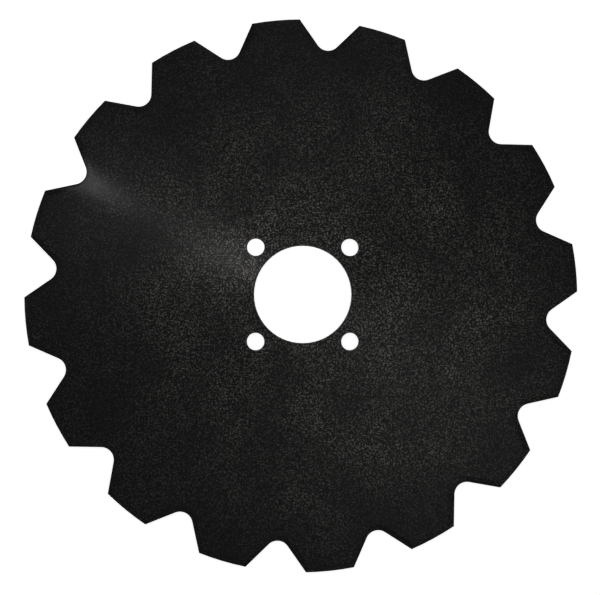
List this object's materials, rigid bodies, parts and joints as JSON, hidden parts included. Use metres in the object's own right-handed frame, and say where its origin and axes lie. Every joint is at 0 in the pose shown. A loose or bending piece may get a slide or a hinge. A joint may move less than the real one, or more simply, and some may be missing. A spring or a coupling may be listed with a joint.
{
  "type": "harrow disc blade",
  "caption": "Flat notched disc blade for a disc harrow, with a centre bore and a ring of bolt holes for its hub.",
  "frame": {"origin": "on the blade's axis, in the plane of the back face that it lies on", "axes": "+Z along the blade's axis, out of the front face; +X and +Y between the bolt holes, which lie at 45 degrees to them"},
  "size_m": [0.41, 0.41, 0.005],
  "materials": {
    "black_paint": "satin"
  },
  "bodies": {
    "root": {"disc_blade": "black_paint"}
  },
  "joints": []
}
